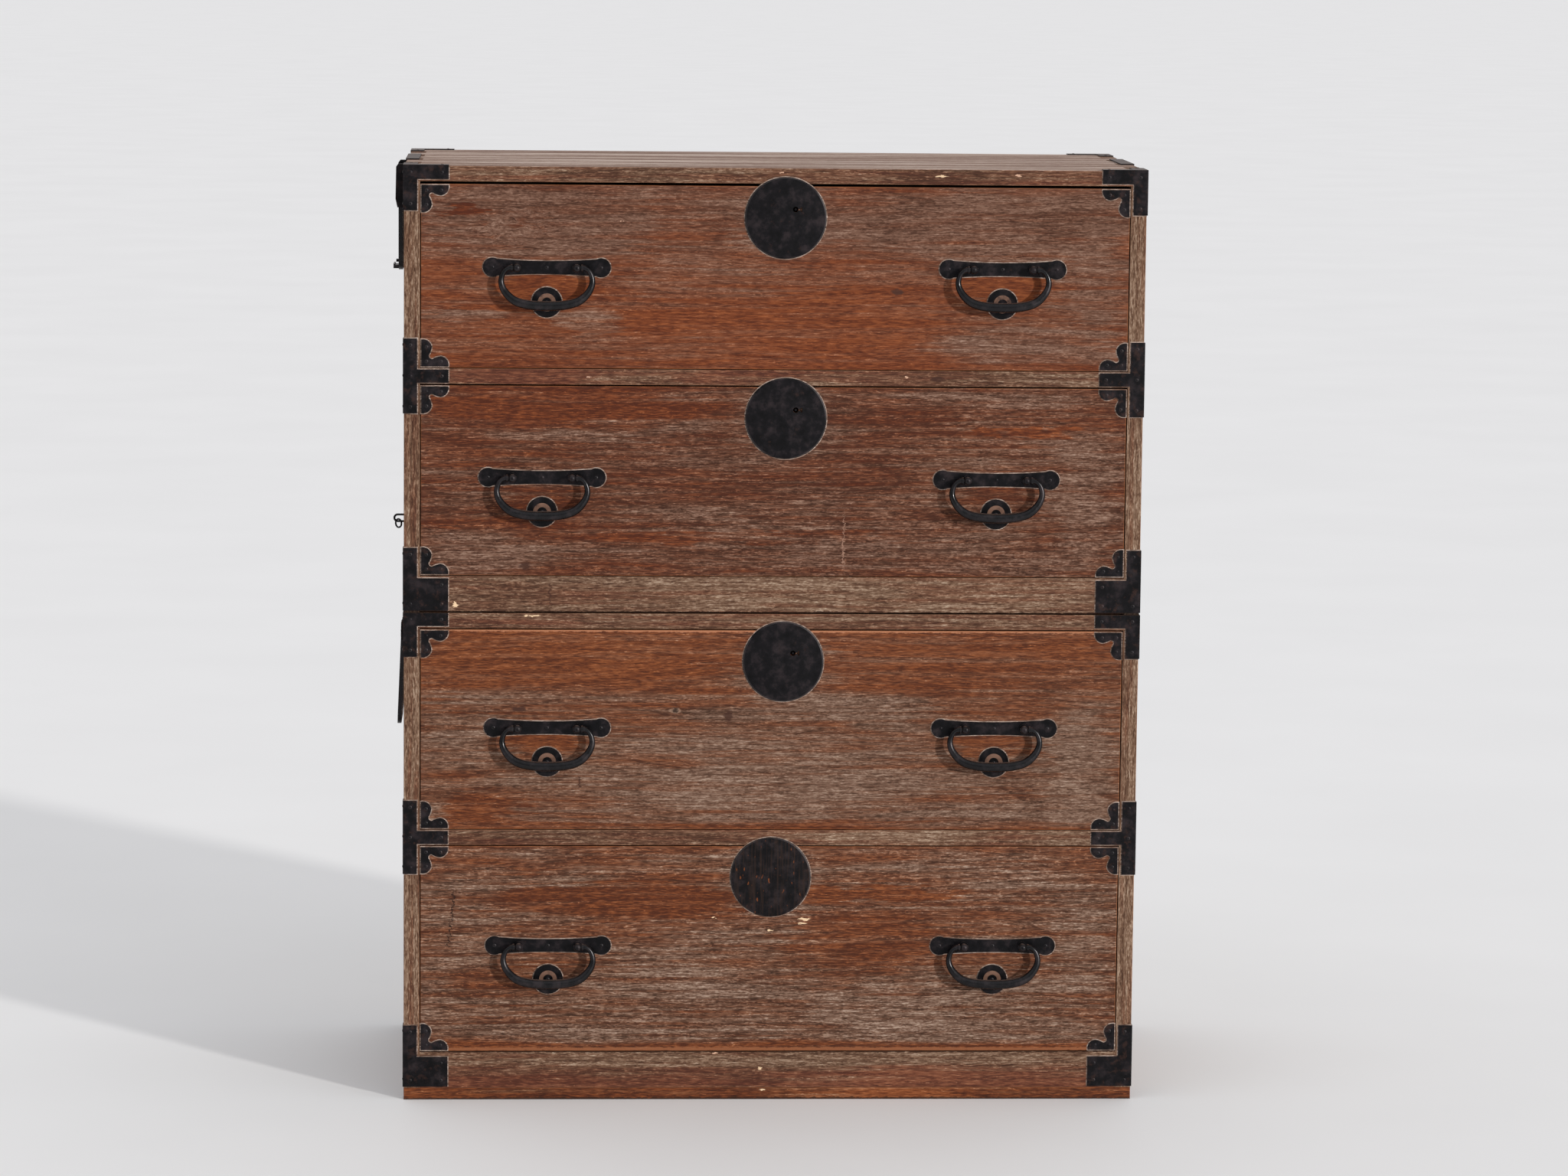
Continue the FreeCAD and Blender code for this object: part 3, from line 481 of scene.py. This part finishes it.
# %% Choose the patches and marks of the fronts
straw, flesh = tone(236, 204, 166), tone(206, 166, 140)
knot_brown, knot_black, knot_halo = tone(62, 38, 30), tone(26, 14, 10), tone(140, 112, 94)
scratch_pale, bare_top, bare_foot = tone(150, 116, 98), tone(172, 116, 84), tone(136, 84, 54)
front_patches = {
    1: ((-292, 178, 139, 42, 0.30, -0.05), (-322, 176, 30, 16, 0.3, 0.07), (0, 195, 460, 40, 0.0, -0.04),
        (-386, 194, 20, 7, -0.9, -0.14), (231, 182, 190, 40, 0.32, -0.03), (-4, 53, 198, 44, -0.25, 0.02),
        (-227, 57, 36, 19, 0.45, 0.06), (-380, 65, 45, 9, 0.45, 0.05), (305, 31, 121, 25, 0.35, 0.02),
        (395, 110, 40, 70, 0.30, 0.0), (-60, 100, 110, 24, 0.15, 0.0)),
    2: ((-255, 205, 171, 26, -0.45, 0.02), (-166, 182, 111, 12, 0.35, 0.03), (316, 180, 66, 5, -0.8, 0.06),
        (310, 115, 130, 100, 0.12, 0.05), (234, 217, 184, 13, 0.15, 0.02), (387, 95, 46, 78, 0.30, 0.05),
        (-353, 33, 77, 30, 0.30, 0.05), (62, 65, 146, 29, 0.20, 0.03), (139, 20, 68, 16, -0.10, -0.06),
        (40, 30, 220, 24, 0.30, 0.0), (-16, 48, 203, 8, -0.6, 0.03), (-330, 60, 90, 12, -0.4, 0.0),
        (5, 110, 150, 10, 0.0, -0.10), (-150, 88, 110, 7, 0.0, -0.08), (130, 195, 120, 14, -0.1, -0.08)),
    3: ((-237, 215, 194, 32, -0.12, 0.04), (246, 217, 178, 30, -0.08, 0.03), (-37, 67, 249, 60, 0.15, 0.04),
        (-372, 131, 39, 34, 0.2, 0.03), (-362, 25, 48, 18, -0.55, -0.02), (384, 88, 48, 79, 0.30, 0.05),
        (127, 152, 73, 24, 0.30, 0.0)),
    4: ((-180, 190, 150, 22, -0.55, -0.04), (-323, 217, 107, 12, 0.35, 0.03), (116, 136, 98, 34, -0.50, 0.0),
        (230, 222, 179, 30, 0.30, 0.04), (130, 198, 110, 9, -0.75, 0.04), (-123, 116, 74, 65, 0.15, 0.03),
        (-342, 86, 68, 15, -0.35, -0.04), (388, 136, 38, 55, 0.20, 0.05), (150, 60, 90, 34, 0.30, 0.06)),
}
front_marks = {
    1: ((149, 96, 7, 4, knot_brown), (-189, 180, 1.6, 0.8, flesh)),
    2: ((-306, 12, 7, 5, knot_brown), (86.5, 43, 0.7, 36, scratch_pale)),
    3: ((-120, 149, 6, 3.2, knot_halo), (-120, 149.5, 3.2, 3.0, knot_black), (-54, 143, 5, 7, knot_brown),
        (-313, 150, 9, 3, knot_brown), (-237, 59, 1.2, 8, knot_brown), (0, 249.6, 700, 2.6, bare_top)),
    4: ((43, 167, 7, 1.3, straw), (40, 162, 5, 1.0, straw), (0, 153, 3.5, 1.0, straw),
        (-70, 169, 2, 1, straw), (-392.6, 193, 1.0, 11, knot_black), (-394.8, 174, 1.0, 12, knot_black),
        (-397.4, 154, 1.0, 12, knot_black), (-399.6, 140, 1.0, 9, knot_black),
        (0, 2.4, 700, 2.2, bare_foot)),
}
front_curls = {1: ((-320, 175, 42, 23),)}
print(sum(map(len, front_patches.values())), "patches and", sum(map(len, front_marks.values())), "marks")

# %% Finish the four drawer fronts
front_seed = 1.9
loop_drop, loop_half_width, loop_half_height = 23 * mm, 46 * mm, 24 * mm
board_depth = 60 * mm
halo_share = 1.16


def placed(corner, spots):
    """Spots in millimetres right of the chest's middle and up from the corner, as centres and radii in
    metres and whatever follows them."""
    return [((x * mm, corner.y, corner.z + z * mm), (half_width * mm, board_depth, half_height * mm), *rest)
            for x, z, half_width, half_height, *rest in spots]


def below_bail(number, side, y, drop):
    """Point at depth y in the middle of a bail, that far below its top."""
    low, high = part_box(f"drawer_{number}_{side}_bail")
    return (low.x + high.x) / 2, y, high.z - drop


for number, chalk in front_chalk.items():
    low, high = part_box(f"drawer_{number}_front")
    patches = placed(low, front_patches[number])
    for side in ("left", "right"):
        patches.append((below_bail(number, side, low.y, loop_drop),
                        (loop_half_width, board_depth, loop_half_height), *loop_change[number]))
    plate_low, plate_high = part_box(f"drawer_{number}_lock")
    halo = (plate_high.x - plate_low.x) / 2 * halo_share
    plate_middle = ((plate_low.x + plate_high.x) / 2, low.y, (plate_low.z + plate_high.z) / 2)
    patches.append((plate_middle, (halo, board_depth, halo), *halo_change))
    dress(wood(f"drawer_{number}_wood", front_seed * number, front_ramps[number], chalk,
               light=front_light[number], contrast=front_contrast[number], span=(low.z, high.z),
               patches=patches, marks=placed(low, front_marks[number]),
               curls=placed(low, front_curls.get(number, ()))),
          f"drawer_{number}_front")
print("four fronts, each with its own wear")

# %% [markdown]
# ## The cases, the top and the inside
# The case is rubbed more than the drawers and its boards are paler. The side boards stand upright, so their
# grain does. The top is the palest of all: it holds dust, and its upward face is painted paler still as
# painted light from above. The drawer boxes and the back planks are bare, unstained wood, because neither
# shows while the chest stands shut against a wall.

# %% Choose the colours of the cases
case_ramps = {
    "chalky": stops((61, 41, 30), (87, 62, 47), (113, 87, 69), (141, 116, 97), (169, 149, 129)),
    "warm": stops((74, 38, 26), (101, 57, 39), (128, 79, 55), (153, 109, 84), (176, 142, 119)),
    "edge": tone(158, 118, 92),
}
plinth_ramps = {
    "chalky": stops((56, 32, 22), (82, 50, 34), (108, 72, 50), (134, 98, 74), (160, 126, 102)),
    "warm": stops((58, 26, 13), (86, 42, 21), (114, 60, 30), (140, 80, 44), (164, 106, 68)),
    "edge": tone(150, 90, 52),
}
inner_ramps = {
    "chalky": stops((112, 88, 66), (140, 114, 88), (166, 140, 110), (184, 160, 130), (200, 180, 152)),
    "warm": stops((110, 80, 54), (140, 106, 74), (166, 132, 96), (186, 152, 116), (202, 172, 138)),
    "edge": tone(184, 158, 126),
}
# Colours of the top's upward face: its dust, and painted light from above that makes it paler still.
top_dust_and_light = ((0.36, tone(122, 94, 80)), (0.45, tone(162, 138, 124)), (0.53, tone(190, 168, 154)),
            (0.64, tone(214, 196, 184)))
foot_chalk = ((0.0, -0.2), (0.20, -0.1), (0.45, 0.30), (0.70, 0.8), (1.0, 0.95))
# Painted shade, with some dirt, darkens the seam between the two cases.
seam_dirt_and_shade, seam_brown_dirt_and_shade = tone(14, 9, 8), tone(46, 26, 18)
# Next, painted shade for the gap under the lowest drawer, and a painted contact shadow along the floor.
foot_gap_shade, floor_contact_shadow = tone(50, 28, 17), tone(44, 25, 15)
print(len(case_ramps["chalky"]), "stops in each ramp")

# %% Finish the cases and the inside
front_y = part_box("drawer_1_front")[0].y
case_foot = Vector((0.0, front_y, 0.0))


def on_case(*spots):
    """Patches or marks on the case, in millimetres right of its middle and up from the floor."""
    return placed(case_foot, spots)


# The dark mark at 612.6 mm on each side board is painted shade and dirt in the seam between the cases.
dress(wood("side_wood", 11.3, case_ramps, even(0.75), light=-0.02, upright=True, worn=0.45,
           patches=on_case((-450, 1040, 30, 90, 0.2, 0.03), (-450, 800, 30, 90, 0.0, -0.02),
                           (-450, 470, 30, 90, 0.15, 0.02), (-450, 200, 30, 90, 0.1, 0.03)),
           marks=on_case((-445, 612.6, 60, 3.2, seam_dirt_and_shade))),
      "lower_left_side", "upper_left_side")
dress(wood("side_wood_right", 12.9, case_ramps, even(0.95), light=0.04, upright=True, worn=0.45,
           marks=on_case((445, 612.6, 60, 3.2, seam_dirt_and_shade))),
      "lower_right_side", "upper_right_side")
dress(wood("shelf_wood", 14.1, case_ramps, even(0.6), light=-0.02, worn=0.35,
           patches=on_case((-250, 326, 200, 24, 0.0, -0.10), (150, 326, 95, 24, 0.15, 0.14),
                           (-310, 903, 80, 24, -0.6, -0.06), (-42, 905, 60, 24, -0.3, 0.0),
                           (232, 906, 60, 24, 0.0, -0.11)),
           marks=on_case((-229, 904, 3, 1.1, flesh), (161, 906, 2.2, 0.8, flesh),
                         (200, 904, 9, 3, knot_brown), (-303, 609, 3, 1.0, straw),
                         (-293, 609, 6, 1.0, straw))),
      "lower_shelf", "upper_shelf", "lower_top_board", "upper_floor_board")
# The dark lines at 613.4 mm are painted shade and dirt in the seam between the cases.
dress(wood("rail_wood", 14.9, case_ramps, even(0.75), light=-0.02, worn=0.2,
           patches=on_case((-330, 640, 60, 30, 0.0, -0.07), (150, 640, 280, 30, 0.0, 0.06)),
           marks=on_case((-391, 621, 4, 1.8, straw), (-392, 624, 1.6, 2.4, straw),
                         (-430, 613.4, 34, 3.0, seam_dirt_and_shade), (430, 613.4, 34, 3.0, seam_dirt_and_shade),
                         (0, 613.4, 700, 1.6, seam_brown_dirt_and_shade), (-275, 636, 0.9, 15, knot_brown))),
      "upper_base_rails")
# The dark line at 61 mm is painted shade in the gap under the lowest drawer.
low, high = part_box("lower_base_rails")
dress(wood("foot_wood", 15.7, case_ramps, foot_chalk, span=(low.z, high.z), worn=0.35,
           patches=on_case((-170, 30, 240, 14, 0.0, -0.12), (160, 30, 75, 13, -0.25, 0.10)),
           marks=on_case((0, 61, 700, 1.3, foot_gap_shade), (-9, 39, 3, 1.5, straw), (-67, 59, 4, 1.2, flesh))),
      "lower_base_rails", "lower_floor_board")
# The top's upward face is painted paler, for its dust and as painted light from above.
dress(wood("top_wood", 17.2, case_ramps, even(0.5), light=-0.02, worn=0.35, upward_dust_and_light=top_dust_and_light,
           patches=on_case((-190, 1156, 110, 20, 0.15, -0.06), (188, 1158, 60, 20, 0.0, -0.15),
                           (265, 1159, 60, 20, 0.0, -0.06)),
           marks=on_case((202, 1153, 7, 1.2, straw), (296, 1154, 4, 1.0, flesh),
                         (5, 1156, 4, 1.0, flesh))),
      "upper_top_board")
# The dark line at the floor is a painted contact shadow.
dress(wood("plinth_wood", 18.4, plinth_ramps, even(0.1), light=0.13, worn=0.3,
           patches=on_case((-285, 9, 130, 30, -0.1, -0.10), (-42, 9, 45, 30, 0.0, -0.13),
                           (150, 9, 90, 30, 0.0, 0.20), (342, 9, 50, 30, 0.0, -0.09)),
           marks=on_case((0, 0.4, 700, 2.2, floor_contact_shadow), (-8, 12, 4, 1.2, straw))),
      "plinth")
dress(wood("back_wood", 19.6, inner_ramps, even(0.75)), "lower_back_planks", "upper_back_planks")
dress(wood("drawer_box_wood", 21.5, inner_ramps, even(0.3), light=0.1, joined=True),
      *[f"drawer_{number}_{part}" for number in front_chalk for part in ("box", "bottom")])
print(len(bpy.data.materials), "materials so far")

# %% [markdown]
# ## Blackened iron
# The irons were blackened in the forge and have a soft sheen, with rust where the black has gone. Their
# colour is nearly black, so what the eye sees is mostly the light on them. One group gives the blotches, the
# fine pits and the rust. Each iron takes its own share of the rust and its own sheen.

# %% Build the iron group
skin_noises = {
    "blotch": ((0.016, 0.016, 0.016), 4.0, 0.65),
    "pits": ((0.0014, 0.0014, 0.0014), 2.0, 0.6),
    "beaten": ((0.009, 0.009, 0.009), 1.0, 0.5),
    "rust": ((0.011, 0.011, 0.011), 5.0, 0.7),
}
rust_edge = (0.52, 0.66)
pit_depth = 0.25


def make_iron_skin():
    g, given, result = new_group("iron skin", {"Place": "vector", "Rust": "value"},
                                 {"Blotch": "value", "Rusty": "value", "Relief": "value"})
    noise = {name: g.noise(given["Place"], *numbers) for name, numbers in skin_noises.items()}
    g.plug(result["Blotch"], noise["blotch"])
    g.plug(result["Rusty"], g.step(g.sum("ADD", noise["rust"], g.centred(given["Rust"])), *rust_edge))
    g.plug(result["Relief"], g.sum("MULTIPLY_ADD", noise["pits"], pit_depth, noise["beaten"]))


make_iron_skin()
print("group iron skin:", len(bpy.data.node_groups["iron skin"].nodes), "nodes")

# %% The iron finish
iron_blacks = ((0.36, tone(10, 9, 11)), (0.50, tone(18, 16, 19)), (0.68, tone(44, 37, 39)))
rust_brown, rust_cover = tone(62, 42, 36), 0.55
# Nail heads and edges are painted lighter: partly worn iron, partly a painted highlight.
rubbed_and_highlight_iron = tone(104, 98, 98)
washer_tone = tone(132, 100, 84)
washer_inside, washer_outside = (5.6 * mm, 6.4 * mm), (11.3 * mm, 10.9 * mm)
washer_wear = (0.75, 0.45)
streak_layers = (
    (((0.0026, 0.02, 0.06), 2.0, 0.6), (0.46, 0.70), tone(50, 36, 30)),
    (((0.0035, 0.02, 0.009), 1.0, 0.5), (0.68, 0.76), tone(128, 70, 34)),
)
# Upward faces of the iron are painted pale: partly dust, partly painted sheen.
iron_dust_and_sheen, iron_upward_edge, iron_dust_and_sheen_cover = tone(132, 116, 108), (0.80, 0.98), 0.55
sheen_edge, sheen_spread = (0.3, 0.7), 0.18
iron_metallic = 0.55
iron_bump = {"Strength": 0.35, "Distance": 0.4 * mm}


def iron(name, rust, sheen, gloss=0.25, polish_and_highlight=0.0, streaks=0.0, washers=()):
    """Blackened iron. rust and streaks are shares from 0 to 1, sheen is the roughness, gloss is the strength
    of its highlights, polish is how much lighter the nail heads and edges are painted, partly worn bright
    and partly a painted highlight, and washers are the centres of the worn washers on it."""
    material, g, shader, place = new_material(name)
    skin = g.group("iron skin", Place=place, Rust=rust)
    colour = g.ramp(skin["Blotch"], iron_blacks)
    colour = g.mix(g.sum("MULTIPLY", skin["Rusty"], rust_cover), colour, rust_brown)
    # Rounded faces, such as nail heads and plate edges, are painted lighter: wear and a painted highlight.
    if polish_and_highlight:
        rubbed_and_lit_share = g.group("rounded arris", Place=place)["Bare"]
        colour = g.mix(g.sum("MULTIPLY", rubbed_and_lit_share, polish_and_highlight), colour, rubbed_and_highlight_iron)
    for centre in washers:
        distance = g.distance(place, centre)
        ring = g.sum("MULTIPLY", g.step(distance, *washer_inside), g.step(distance, *washer_outside))
        worn = g.sum("MULTIPLY", ring, g.step(skin["Blotch"], *washer_wear))
        colour = g.mix(worn, colour, washer_tone)
    if streaks:
        for noise, edge, paint in streak_layers:
            streaky = g.sum("MULTIPLY", g.step(g.noise(place, *noise), *edge), streaks)
            colour = g.mix(streaky, colour, paint)
    # Upward faces: dust, and a painted sheen of the light grazing the plates.
    dust_and_painted_light = g.step(g.part(g.normal()), *iron_upward_edge, 0.0, iron_dust_and_sheen_cover)
    g.plug(shader.inputs["Base Color"], g.mix(dust_and_painted_light, colour, iron_dust_and_sheen))
    g.plug(shader.inputs["Roughness"], g.step(skin["Blotch"], *sheen_edge, sheen, sheen + sheen_spread))
    shader.inputs["Metallic"].default_value = iron_metallic
    shader.inputs["Specular IOR Level"].default_value = gloss
    g.plug(shader.inputs["Normal"], g.node("ShaderNodeBump", {**iron_bump, "Height": skin["Relief"]}))
    return material


# %% Finish the irons
washer_out = 2.4 * mm
washer_drop = 47.1 * mm
# Each polish share paints nail heads and edges lighter, as wear and as a painted highlight.
corner_iron = iron("corner_iron", rust=0.50, sheen=0.40, polish_and_highlight=0.16)
handle_iron = iron("handle_iron", rust=0.40, sheen=0.20, gloss=0.6)
lock_iron = iron("lock_iron", rust=0.42, sheen=0.42, polish_and_highlight=0.2)
streaked_iron = iron("streaked_lock_iron", rust=0.46, sheen=0.42, polish_and_highlight=0.2, streaks=0.7)
dress(corner_iron, "lower_case_irons", "upper_case_irons", "lower_pole_brackets", "upper_pole_brackets",
      *[f"drawer_{number}_corner_irons" for number in front_chalk])
dress(handle_iron, "side_staple", "side_ring",
      *[f"{case}_{side}_pole_handle" for case in ("lower", "upper") for side in ("left", "right")],
      *[f"drawer_{number}_{side}_bail" for number in front_chalk for side in ("left", "right")])
dress(lock_iron, *[f"drawer_{number}_{part}" for number in (1, 2, 3) for part in ("lock", "lock_bolt")])
dress(streaked_iron, "drawer_4_lock")
for number in front_chalk:
    washers = [below_bail(number, side, front_y - washer_out, washer_drop) for side in ("left", "right")]
    dress(iron(f"handle_iron_{number}", rust=0.40, sheen=0.32, polish_and_highlight=0.14, washers=washers),
          f"drawer_{number}_handle_mounts")
print("iron on", sum("iron" in node.data.materials[0].name for node in nodes.values()), "nodes")

# %% [markdown]
# ## Bare rims round the irons
# Polish and dirt never reached the last millimetre of wood beside an iron, so a thin pale line follows
# every plate. It is modelled and not painted, because a line that follows an outline needs that outline: the
# faces with which each iron lies on the wood are taken from a copy of its mesh, and inset_region grows a
# ring outwards round them. The ring is then raised by about a tenth of a millimetre, and cut at the edge of
# the case.

# %% The rim tools
rim_width = 1.2 * mm
rim_rise = Vector((0.0, -0.12 * mm, 0.0))
flat_limit = 0.02 * mm
flat_angle = 0.01
facing_wood = 0.99


def lies_on_wood(face):
    """Whether the face of an iron lies on the plane of the fronts and looks into the wood."""
    return face.normal.y > facing_wood and all(abs(v.co.y - front_y) < flat_limit for v in face.verts)


def grow_rim(shape, node, hole=None):
    """Add to the shape a ring round each outline with which the node lies on the fronts. hole is the centre
    and radius of a round part of the node inside which no ring is wanted."""
    part = bmesh.new()
    part.from_mesh(nodes[node].data)
    bmesh.ops.remove_doubles(part, verts=part.verts, dist=flat_limit / 4)
    part.normal_update()
    bmesh.ops.delete(part, geom=[face for face in part.faces if not lies_on_wood(face)], context="FACES")
    bmesh.ops.dissolve_limit(part, angle_limit=flat_angle, verts=part.verts, edges=part.edges)
    inner = list(part.faces)
    bmesh.ops.inset_region(part, faces=inner, thickness=-rim_width, use_even_offset=True, use_boundary=True)
    if hole:
        inner += [face for face in part.faces if (face.calc_center_median() - hole[0]).length < hole[1]]
    bmesh.ops.delete(part, geom=list(set(inner)), context="FACES")
    raised = bmesh.ops.extrude_face_region(part, geom=list(part.faces))["geom"]
    bmesh.ops.translate(part, vec=rim_rise, verts=[v for v in raised if isinstance(v, bmesh.types.BMVert)])
    bmesh.ops.recalc_face_normals(part, faces=part.faces)
    mesh = bpy.data.meshes.new("ring")
    part.to_mesh(mesh)
    shape.from_mesh(mesh)
    part.free()


def cut_away(shape, corner, outward):
    """Cut off what lies outward of the corner, and close the cut."""
    bmesh.ops.bisect_plane(shape, geom=[*shape.verts, *shape.edges, *shape.faces], plane_co=corner,
                           plane_no=outward, clear_outer=True)
    bmesh.ops.holes_fill(shape, edges=[edge for edge in shape.edges if edge.is_boundary])


def meshed(name, shape, material):
    """Turn a bmesh into an object with one material."""
    mesh = bpy.data.meshes.new(name)
    shape.to_mesh(mesh)
    shape.free()
    mesh.materials.append(material)
    return add_object(name, mesh)


def finished(name, shape, material, body):
    """Turn a bmesh into a piece of the chest that rides on a body."""
    piece = meshed(name, shape, material)
    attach(piece, body)
    print(piece.name, len(piece.data.polygons), "faces")


# %% Grow the rims
lock_inside = 40 * mm
rim_ramps = {
    "chalky": stops((86, 68, 58), (126, 106, 94), (158, 138, 126), (182, 163, 151), (200, 184, 172)),
    "warm": stops((72, 48, 36), (102, 74, 58), (134, 106, 90), (164, 138, 122), (188, 166, 150)),
    "edge": tone(160, 138, 124),
}
rim_wood = wood("rim_wood", 23.7, rim_ramps, even(0.75))
for number in front_chalk:
    shape = bmesh.new()
    plate_low, plate_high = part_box(f"drawer_{number}_lock")
    plate = (plate_low + plate_high) / 2
    plate.y = front_y
    for part, hole in (("corner_irons", None), ("handle_mounts", None), ("lock", (plate, lock_inside))):
        grow_rim(shape, f"drawer_{number}_{part}", hole)
    finished(f"drawer_{number}_rims", shape, rim_wood, f"drawer_{number}")

for case in ("lower", "upper"):
    side_low, side_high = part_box(f"{case}_left_side")
    side_low.z = max(side_low.z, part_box(f"{case}_case_irons")[0].z)
    shape = bmesh.new()
    grow_rim(shape, f"{case}_case_irons")
    cuts = ((Vector((side_low.x, 0, 0)), (-1, 0, 0)), (Vector((-side_low.x, 0, 0)), (1, 0, 0)),
            (side_high, (0, 0, 1)), (side_low, (0, 0, -1)))
    for corner, outward in cuts:
        cut_away(shape, corner, outward)
    bmesh.ops.recalc_face_normals(shape, faces=shape.faces)
    finished(f"{case}_rims", shape, rim_wood, f"{case}_case")

# %% [markdown]
# ## The floor
# The chest stands on a wide pale floor. It reaches far past the picture so that nothing else shows behind
# the chest, and a faint mottling keeps it from looking like paper.

# %% Lay the floor
floor_size = 400.0
floor_noise = ((0.5, 0.5, 0.5), 3.0, 0.5)
floor_tones = ((0.3, tone(240, 239, 238)), (0.7, tone(243, 242, 241)))
floor_roughness = 0.7

floor_paint, g, shader, place = new_material("floor_paint")
g.plug(shader.inputs["Base Color"], g.ramp(g.noise(place, *floor_noise), floor_tones))
shader.inputs["Roughness"].default_value = floor_roughness
shape = bmesh.new()
bmesh.ops.create_grid(shape, x_segments=1, y_segments=1, size=floor_size)
floor = meshed("floor", shape, floor_paint)
print("floor", 2 * floor_size, "metres wide")
